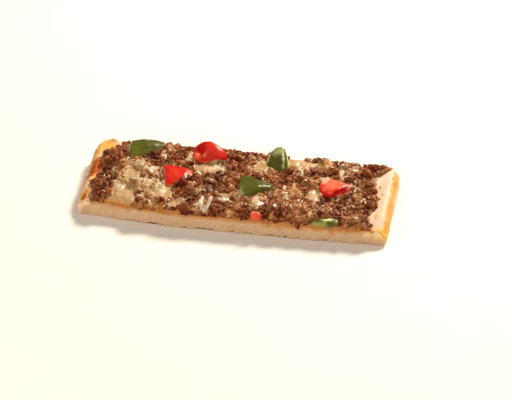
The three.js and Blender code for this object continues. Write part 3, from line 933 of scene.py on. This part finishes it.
def sample(field, x, y):
    i = np.clip((x - rasterX[0]) / step, 0, len(rasterX) - 1.001)
    j = np.clip((y - rasterY[0]) / step, 0, len(rasterY) - 1.001)
    i0, j0 = i.astype(int), j.astype(int)
    s, t = i - i0, j - j0
    near = mix(field[i0, j0], field[i0 + 1, j0], s)
    far = mix(field[i0, j0 + 1], field[i0 + 1, j0 + 1], s)
    return mix(near, far, t)


def heapLevel():
    # the top of the heap: higher in swells, lower at the cuts and in its dark hollows
    level = minceTop(meshX, meshY)
    for seed, (rise, size) in enumerate(mince["swells"], 31):
        level = level + rise * swellField(size, seed) * (1 - poolField)
    slump, reach = mince["edgeSlump"]
    level = level - slump * fade(toCut, 0, reach)
    for hx, hy, radius, sink in mince["hollows"]:
        level = level - sink * fade(np.hypot(meshX - hx, meshY - hy), 0.3 * radius, radius)
    return level


def filmShare():
    # how much cheese lies between the crumbs
    much, coarseSwing, coarseSize, fineSwing, fineSize = cheese["film"]
    film = much + coarseSwing * swellField(coarseSize, 51) + fineSwing * swellField(fineSize, 52)
    return np.maximum(film, patches(cheese["films"], meshX, meshY, 0.4) + 0.4 * swellField(3, 53))


def coreGrains():
    grain = np.zeros(meshX.shape)
    for seed, (rise, size) in enumerate(mince["coreGrain"], 35):
        grain = grain + rise * (0.5 - pits(rasterPoints, size, seed).reshape(meshX.shape))
    return grain


levelField = heapLevel()
filmField = filmShare()
grainField = coreGrains()
coreField = np.maximum(levelField - mince["coreSink"] + grainField, bareField + 0.4)
heap = np.where(insideMince(meshX, meshY, 0), coreField, bareField)
noFloor = 1e3  # where there is no pepper
pepperFloor = np.full(meshX.shape, noFloor)  # underside of the pepper over each place
pepperRoof = np.full(meshX.shape, -noFloor)


def castPeppers():
    clear = 60  # over and under everything
    margin = 3
    for name, tree in pepperTrees.items():
        rows = np.array(pepper["pieces"][name]["net"]).reshape(-1, 3)
        low, high = rows.min(0) - margin, rows.max(0) + margin
        i0, i1 = np.searchsorted(rasterX, [low[0], high[0]])
        j0, j1 = np.searchsorted(rasterY, [low[1], high[1]])
        for i, j in product(range(i0, min(i1, len(rasterX))), range(j0, min(j1, len(rasterY)))):
            x, y = rasterX[i], rasterY[j]
            above = tree.ray_cast((x, y, clear), (0, 0, -1))[0]
            if above is not None:
                below = tree.ray_cast((x, y, -clear), (0, 0, 1))[0]
                pepperRoof[i, j] = max(pepperRoof[i, j], above.z)
                pepperFloor[i, j] = min(pepperFloor[i, j], below.z)


castPeppers()
underPepper = pepperFloor < noFloor


def crumbShapes(sort, rng):
    # a crumb is a cluster of rounded knobs: for each direction, how far out the furthest knob reaches
    cells = sort["cells"]
    cube, faces, _ = boxGrid(cells, cells, cells)
    outward = np.tan((cube * 2 - 1) * math.pi / 4)
    outward /= np.linalg.norm(outward, axis=1)[:, None]
    shapes = []
    for _ in range(mince["shapes"]):
        reach = np.full(len(outward), 0.45)
        for _ in range(sort["knobs"]):
            centre = rng.normal(size=3)
            size = rng.uniform(*sort["knobSize"])
            centre *= rng.uniform(0.45, 1.05 - size) / np.linalg.norm(centre)
            along = outward @ centre
            inside = size**2 - centre @ centre + along**2
            hit = np.where(inside > 0, along + np.sqrt(np.maximum(inside, 0)), 0)
            reach = np.maximum(reach, hit)
        # painted shade: darker where the surface dips into a crease between knobs
        crease = fade(reach, 0.5, 0.95)
        rough = 1 + 0.3 * lumps(outward * 1.7 + rng.uniform(0, 50), 1)
        rough = rough + 0.14 * lumps(outward * 4 + rng.uniform(0, 50), 1)
        shapes.append((outward * (reach * rough)[:, None], crease))
    return shapes, faces


def dropCrumb(x, y, radius, limit=99, overPepper=False):
    # beds a crumb in what is there already and gives its height, or None where it has no room
    squashed = mince["squash"] * radius
    reach = int(radius / step) + 1
    i, j = int(round((x - rasterX[0]) / step)), int(round((y - rasterY[0]) / step))
    window = (slice(max(i - reach, 0), i + reach + 1), slice(max(j - reach, 0), j + reach + 1))
    off = np.hypot(meshX[window] - x, meshY[window] - y)
    under = off < radius * 0.8
    if not under.any():
        return None
    ground = heap[window][under]
    if overPepper:
        ground = np.maximum(ground, pepperRoof[window][under])
        z = ground.max() + 0.3 * radius
    else:
        bedded = 0.5 * (ground.mean() + ground.max()) + 0.4 * radius
        z = min(bedded, levelField[i, j] + limit - squashed)
        if (pepperFloor[window][off < radius * 0.9] < z + 0.7 * radius).any():
            return None
    if z + squashed < ground.max() + 0.3 * radius:
        return None
    dome = z + mince["squash"] * np.sqrt(np.maximum(radius**2 - off**2, 0))
    heap[window] = np.where(off < radius, np.maximum(heap[window], dome), heap[window])
    return z


def randomTurn(rng):
    q = rng.normal(size=4)
    return np.array(Quaternion(q / np.linalg.norm(q)).to_matrix())


def crumbsAtCuts(rng, count, radii, heights, sparseX, lastX, hiddenX):
    # the slice runs through the heap: crumbs stand in the cheese at the two cuts
    found = []
    while len(found) < count:
        side = rng.choice([-1, 1])
        first, last = minceEnds(side * halfWidth)
        x = rng.uniform(first + 2, min(last - 2, lastX))
        y = float(frontEdge(x)) if side < 0 else halfWidth
        radius = rng.uniform(*radii)
        pooled = poolCover(np.array(x), np.array(y - side * 2))
        runOver = side < 0 and hiddenX[0] < x < hiddenX[1]
        if rng.uniform() < max(2.5 * pooled, 0.5 * (x > sparseX), 0.85 * runOver):
            continue
        z = float(breadTop(x, y)) + rng.uniform(*heights) + 0.3 * radius
        y -= side * rng.uniform(0.1, 0.9) * radius
        if not underPepper[np.hypot(meshX - x, meshY - y) < radius + 1].any():
            found.append((x, y, z, radius))
    return found


def placeCrumbs(sort, rng):
    placed = []
    for _ in range(sort["tries"]):
        if len(placed) >= sort["count"]:
            break
        x = rng.uniform(*mince["scatter"])
        y = rng.uniform(-halfWidth, halfWidth)
        radius = rng.uniform(*sort["radius"])
        if not insideMince(x, y, radius * 0.7):
            continue
        covered = smoothStep(poolCover(np.array(x), np.array(y)), 0.15, 0.6)
        film = sample(filmField, np.array([x]), np.array([y]))[0]
        if rng.uniform() < max(1.3 * covered, 0.75 * smoothStep(film, 0.5, 1)):
            continue
        z = dropCrumb(x, y, radius, rng.uniform(*sort["slack"]))
        if z is not None:
            placed.append((x, y, z, radius))
    for x, y, radius in sort.get("strays", ()):
        placed.append((x, y, dropCrumb(x, y, radius), radius))
    for x, y, radius in sort.get("onPepper", ()):
        placed.append((x, y, dropCrumb(x, y, radius, overPepper=True), radius))
    if "atCuts" in sort:
        placed += crumbsAtCuts(rng, **sort["atCuts"])
    return [crumb for crumb in placed if crumb[2] is not None]


def minceTone(points):
    # from 0, dark and crusted, to 1, pale and fatty
    flat = points * [1, 1, 0]
    tone = 0.5 + 0.5 * lumps(flat, 16, 61) + 0.45 * lumps(flat, 6, 62)
    for *oval, shift in mince["tones"]:
        tone = tone + shift * fade(ovalOff(points[:, 0], points[:, 1], *oval), 0.4, 1.2)
    front = mince["frontTone"]
    return np.maximum(tone, front["least"] * fade(points[:, 1], front["to"], front["from"]))


def makeCrumbs(name, sort, seed):
    rng = np.random.default_rng(seed)
    shapes, shapeFaces = crumbShapes(sort, rng)
    placed = placeCrumbs(sort, rng)
    points, faces, tones, paintedCreaseShades, glazes = [], [], [], [], []
    spread = mince["toneSpread"]
    for number, (x, y, z, radius) in enumerate(placed):
        shape, crease = shapes[rng.integers(len(shapes))]
        stretch = np.array([rng.uniform(*limits) for limits in mince["stretch"]])
        turned = (shape * stretch) @ randomTurn(rng).T
        points.append(turned * radius * mince["overlap"] + [x, y, z])
        faces += [tuple(v + number * len(shape) for v in face) for face in shapeFaces]
        tones.append(np.full(len(shape), rng.uniform(-spread, spread)))
        paintedCreaseShades.append(crease)
        glazes.append(np.full(len(shape), rng.uniform(*mince["glazeSpread"])))
    points = np.concatenate(points)
    film = np.clip(sample(filmField, points[:, 0], points[:, 1]), 0, 1)
    depth = sample(levelField, points[:, 0], points[:, 1]) - points[:, 2]
    values = {
        # crumbs that sit deeper under the top of the heap get a darker tone: painted shade
        "tone": minceTone(points) + np.concatenate(tones) - 0.12 * np.clip(depth - 1, 0, 3),
        "crease": np.concatenate(paintedCreaseShades),
        "glaze": film * np.concatenate(glazes),
    }
    print(name, len(placed), "placed")
    addPiece(name, points, faces, [minceMaterial], values)


def makeCore():
    places, faces, _ = boxGrid(*mince["coreCells"], 1, True)
    x, y = layerPoint(mince, places[:, 0], places[:, 1], -1.5)
    top = sample(coreField, x, y)
    points = np.stack([x, y, np.where(places[:, 2] > 0.5, top, mince["foot"])], 1)
    values = {
        "tone": minceTone(points) - 0.1,
        # painted shade, darker between the grains of the core
        "crease": 0.95 - 0.6 * smoothStep(sample(grainField, x, y), -0.6, 0.5),
        "glaze": np.clip(sample(filmField, x, y), 0, 1),
    }
    addPiece("mince_core", points, faces, [minceMaterial], values, ["ground_beef"])


makeCore()
for seed, (kind, sort) in enumerate(mince["sorts"].items(), 11):
    makeCrumbs("mince_" + kind, sort, seed)
print("mince heaped")


def blurred(field, cells):
    for axis in (0, 1):
        total = np.zeros_like(field)
        weights = 0
        for shiftBy in range(-cells, cells + 1):
            weight = math.exp(-((shiftBy / (0.55 * cells)) ** 2))
            total += weight * np.roll(field, shiftBy, axis)
            weights += weight
        field = total / weights
    return field


def cheeseSurface():
    # pools stand proud; elsewhere the cheese lies between the crumbs and climbs a little up their sides
    blister = relief(meshX / cheese["blister"], meshY / cheese["blister"])
    pool = bareField + cheese["thickness"] * (0.85 + 0.3 * blister) + cheese["poolRise"] * poolField
    for seed, (rise, size) in enumerate(cheese["poolSwells"], 41):
        pool = pool + rise * swellField(size, seed)
    first, last = minceEnds(meshY)
    toEnd = np.minimum(meshX - first, last - meshX)
    film = levelField - cheese["filmBed"] + cheese["filmRise"] * filmField
    film = film - cheese["filmEndSink"] * fade(toEnd, 1, 8)
    level = np.maximum(pool, film)
    higher, drawn = cheese["climb"]
    level = level + drawn * np.clip((blurred(heap, 2) - level) / higher, -0.4, 1)
    atCut = fade(toCut, 0, cheese["cutReach"])
    thick = np.where(meshY < 0, np.interp(meshX, *zip(*cheese["atFront"])), cheese["atCut"])
    level = mix(level, np.minimum(level, bareField + thick + 0.5 * swellField(4, 45)), atCut)
    return np.where(underPepper, np.minimum(level, pepperFloor + cheese["intoPepper"]), level)


cheeseField = cheeseSurface()


def drip(x, side, bare, toEnd):
    # how far down the cut side the cheese has run
    length = 0.1
    for run, size, seed in cheese["runs"]:
        length = length + run * relief(x / size, side + seed)
    for dx, half, drop in cheese["drips"]:
        length = length + drop * fade(np.abs(x + side * dx), 0.4 * half, half)
    return bare - length * smoothStep(toEnd, 1, 12)


def makeCheese():
    across, deep = cheese["cells"]
    skirt = cheese["skirtCells"]
    rows = deep + 2 * skirt
    places, faces, _ = boxGrid(across, rows, 1, True)
    row = places[:, 1] * rows
    t = np.clip((row - skirt) / deep, 0, 1)
    hang = np.maximum(np.maximum(skirt - row, row - skirt - deep), 0) / skirt  # 0 on top, 1 at the foot
    hanging = hang > 0
    x, y = layerPoint(cheese, places[:, 0], t, cheese["beyond"])
    flat = np.stack([x, y, np.zeros(len(x))], 1)
    bare = breadTop(x, y)
    first, last = minceEnds(y)
    toEnd = np.minimum(x - first, last - x) + cheese["beyond"]
    ends = smoothStep(toEnd + 2 * lumps(flat, 4, 46), 0, cheese["endFade"])
    top = mix(bare + 0.1, sample(cheeseField, x, y), ends)
    # over the cut sides the cheese rolls down the bread
    side = np.where(t < 0.5, -1, 1)
    faceY = np.where(t < 0.5, frontEdge(x), halfWidth)
    edgeTop = np.minimum(top, bare + 0.2 + 1.4 * smoothStep(toEnd, 1, 9))
    hangZ = mix(edgeTop, drip(x, side, bare, toEnd), hang**0.8)
    bulge = 0.15 + 0.55 * relief(x / 3.1, side + 6)
    hangY = faceY + side * (0.12 + bulge * np.sin(np.minimum(hang * 1.15, 1) * math.pi) * ends)
    hangY = mix(y, hangY, smoothStep(hang, 0, 0.45))
    z = np.where(hanging, hangZ, top)
    outer = np.stack([x, np.where(hanging, hangY, y), z], 1)
    innerZ = np.where(hanging, np.minimum(hangZ - 0.3, mince["foot"]), mince["foot"])
    inner = np.stack([x, np.where(hanging, faceY - side * 0.6, y), innerZ], 1)
    points = np.where(places[:, 2:] > 0.5, outer, inner)
    onCut = np.stack([x, z, z * 0], 1)
    cover = smoothStep(z - sample(heap, x, y), -0.1, 1.3)
    edge = fade(np.minimum(t, 1 - t), 0, 0.045)
    toast = np.where(hanging, 0.75 + 0.5 * lumps(flat, 5, 44), edge * (0.6 + 0.6 * lumps(flat, 6, 44)))
    values = {
        "cover": np.where(hanging, 0.35 + 0.9 * lumps(onCut, 2.6, 43), cover),
        "toast": np.maximum(np.clip(toast, 0, 1), patches(cheese["toast"], x, y, 0.3)),
        "milk": patches(cheese["milk"], x, y, 0.2) * (1 - hang),
        "soak": hang * (0.95 + 0.9 * lumps(onCut, 3.4, 47)),
    }
    addPiece("melted_cheese", points, faces, [cheeseMaterial], values, ["cheese"])


makeCheese()
print("cheese melted")


shreds = {
    "around": 8,
    "along": 12,
    "flatness": 0.45,
    "loose": 34,  # short strands left whole here and there
    "tries": 4000,
    "looseX": (-108, 104),
    "looseY": (-37, 38),
    "looseLength": (3, 7),
    "looseWidth": (1.2, 2.4),
    "looseLift": (0, 0.25, 0.25, 0),
    "looseWhite": (0.05, 0.5),
    "looseFilm": (0.35, 1.1),  # how much cheese has to lie there
    "kept": [  # strands that stand out: width, whiteness, then x, y and height over what lies there
        (3.8, 0.85, [(-24.2, -25.5, 0.3), (-25.8, -30.5, 0.9), (-25.2, -36, 0.9), (-22.4, -41.2, 0.6)]),
        (3.2, 0.7, [(-18.6, -26, 0.3), (-18.2, -31, 0.9), (-19.2, -36, 0.9), (-21, -41.2, 0.6)]),
        (4.6, 0.85, [(-25.2, -36, 0.4), (-23.8, -38.8, 0.6), (-22, -40.4, 0.6), (-20, -38, 0.4)]),
        (3.8, 0.6, [(-22.3, -35.5, -0.5), (-22, -37.6, 0.0), (-21.8, -39.6, 0.1), (-21.6, -41.4, 0.2)]),
        (4.8, 0.75, [(-15, -26, 0.1), (-11.5, -27.2, 0.3), (-7.5, -27, 0.3), (-4, -25, 0.1)]),
        (5.0, 0.25, [(-46.5, 20, -0.5), (-45.5, 24, -0.2), (-44.5, 28, -0.2), (-44, 32, -0.5)]),
        (2.4, 0.5, [(47, 13, 0.2), (48, 16, 0.4), (47.5, 19, 0.4), (49, 22, 0.2)]),
        (4.5, 0.7, [(62.5, 11.5, 0.0), (65, 12.5, 0.2), (68, 12, 0.2), (71.5, 12.5, 0.0)]),
    ],
}


def looseStrands(rng):
    nearPepper = blurred((pepperRoof > 0).astype(float), 9)
    strands = []
    tries = 0
    while len(strands) < shreds["loose"] and tries < shreds["tries"]:
        tries += 1
        x, y = rng.uniform(*shreds["looseX"]), rng.uniform(*shreds["looseY"])
        film, near = [sample(field, np.array([x]), np.array([y]))[0] for field in (filmField, nearPepper)]
        if film < rng.uniform(*shreds["looseFilm"]) or near > 0.02:
            continue
        heading, bend = rng.uniform(0, 2 * math.pi), rng.uniform(-0.5, 0.5)
        length = rng.uniform(*shreds["looseLength"])
        line = []
        for lift in shreds["looseLift"]:
            line.append((x, y, lift))
            x += length / 3 * math.cos(heading)
            y += length / 3 * math.sin(heading)
            heading += bend
        width = rng.uniform(*shreds["looseWidth"])
        strands.append((width, rng.uniform(*shreds["looseWhite"]), line))
    return strands


def strandFaces(around, count):
    # the faces of a closed tube whose points come in rows of count along it
    faces = []
    for k, i in product(range(around), range(count - 1)):
        here, beside = k * count + i, (k + 1) % around * count + i
        faces.append((here, here + 1, beside + 1, beside))
    faces.append(tuple(k * count for k in range(around)))
    faces.append(tuple(k * count + count - 1 for k in reversed(range(around))))
    return faces


def makeShreds():
    ground = np.maximum(np.maximum(heap, np.where(pepperRoof > 0, pepperRoof, 0)), cheeseField)
    ground = blurred(ground, 2)
    around, count = shreds["around"], shreds["along"] + 1
    tube = strandFaces(around, count)
    u = np.linspace(0, 1, count)
    points, faces, milk = [], [], []
    for width, white, line in shreds["kept"] + looseStrands(np.random.default_rng(14)):
        path = through(np.array(line, float), u)
        path[:, 2] += sample(ground, path[:, 0], path[:, 1])
        path[:, 2] = np.convolve(np.pad(path[:, 2], 1, "edge"), [0.25, 0.5, 0.25], "valid")
        forward = np.gradient(path, axis=0)
        sideways = np.cross(forward, [0, 0, 1.0])
        sideways /= np.linalg.norm(sideways, axis=1)[:, None] + 1e-9
        upward = np.cross(sideways, forward)
        upward /= np.linalg.norm(upward, axis=1)[:, None] + 1e-9
        taper = np.sqrt(np.clip(1 - np.abs(2 * u - 1) ** 3, 0.03, 1)) * (1 + 0.6 * lumps(path, 3, 71))
        faces += [tuple(v + len(points) * count for v in face) for face in tube]
        for k in range(around):
            angle = 2 * math.pi * k / around
            out = sideways * math.cos(angle) + upward * math.sin(angle) * shreds["flatness"]
            points.append(path + out * (width * taper)[:, None] / 2)
        milk.append(np.full(around * count, white))
    points = np.concatenate(points)
    none = np.zeros(len(points))
    toast = 0.5 * patches(cheese["toast"], points[:, 0], points[:, 1], 0.3)
    values = {"cover": none + 0.8, "toast": toast, "milk": np.concatenate(milk), "soak": none}
    addPiece("cheese_shreds", points, faces, [cheeseMaterial], values)


makeShreds()
print("shreds laid")


stage = {
    "floorSize": 6.0,  # metres
    "floorColours": ("f1ece4", "ece6dc"),
    "noises": {"patch": (40, 2)},  # on the floor
    "azimuth": 9.04,  # degrees, where the camera stands round the strip
    "elevation": 37.54,
    "distance": 2219,
    "lens": 194.5,
    "sensor": 36,
    "aimRight": 13.1,
    "aimUp": 0.8,
    "worldColour": "fbfaf8",
    "worldStrength": 0.24,
    "lights": {  # places and sizes in metres, power in watts
        "key": {
            "place": (0.55, 0.9, 1.1), "size": 0.4, "watts": 35, "colour": "fff3e4", "mirrored": True,
        },
        # the fill only brightens the shaded sides: it leaves no reflection in the oily surfaces
        "fill": {
            "place": (-0.5, -1.5, 0.9), "size": 1.6, "watts": 23, "colour": "fff6ec", "mirrored": False,
        },
    },
}


def makeFloor():
    half = stage["floorSize"] / 2
    mesh = bpy.data.meshes.new("floor")
    corners = [(-half, -half, 0), (half, -half, 0), (half, half, 0), (-half, half, 0)]
    mesh.from_pydata(corners, [], [(0, 1, 2, 3)])
    floor = bpy.data.objects.new("floor", mesh)
    bpy.context.scene.collection.objects.link(floor)
    # Wooden board, painted: smooth, pale and matt, no gloss
    material, tree, shader, read = startMaterial("mattPaintedBoard", stage)
    warm, grey = stage["floorColours"]
    tint = addNode(tree, "MixRGB", {"Color1": warm, "Color2": grey}, {"Fac": read["patch"]})
    addNode(tree, shader, {"Roughness": 0.8}, {"Base Color": tint})
    mesh.materials.append(material)


def addHolder(name, data, place, facing):
    holder = bpy.data.objects.new(name, data)
    holder.location = place
    holder.rotation_euler = facing.to_track_quat("-Z", "Y").to_euler()
    bpy.context.scene.collection.objects.link(holder)
    return holder


def addLight(name, light):
    lamp = bpy.data.lights.new(name, "AREA")
    lamp.size = light["size"]
    lamp.energy = light["watts"]
    lamp.color = linear(light["colour"])[:3]
    holder = addHolder(name, lamp, light["place"], -Vector(light["place"]))
    holder.visible_glossy = light["mirrored"]


def makeCamera():
    a, e = math.radians(stage["azimuth"]), math.radians(stage["elevation"])
    back = Vector((math.sin(a) * math.cos(e), -math.cos(a) * math.cos(e), math.sin(e)))
    right = Vector((math.cos(a), math.sin(a), 0))
    aim = (right * stage["aimRight"] + back.cross(right) * stage["aimUp"]) * mm
    camera = bpy.data.cameras.new("camera")
    camera.lens = stage["lens"]
    camera.sensor_width = stage["sensor"]
    camera.clip_end = 50
    place = aim + back * stage["distance"] * mm
    bpy.context.scene.camera = addHolder("camera", camera, place, -back)


def makeWorld():
    world = bpy.data.worlds.new("softStudio")
    bpy.context.scene.world = world
    world.use_nodes = True
    background = world.node_tree.nodes["Background"]
    settings = {"Color": stage["worldColour"], "Strength": stage["worldStrength"]}
    addNode(world.node_tree, background, settings)


makeFloor()
makeCamera()
for name, light in stage["lights"].items():
    addLight(name, light)
makeWorld()
bpy.context.scene.view_settings.view_transform = "Standard"
print("stage set")
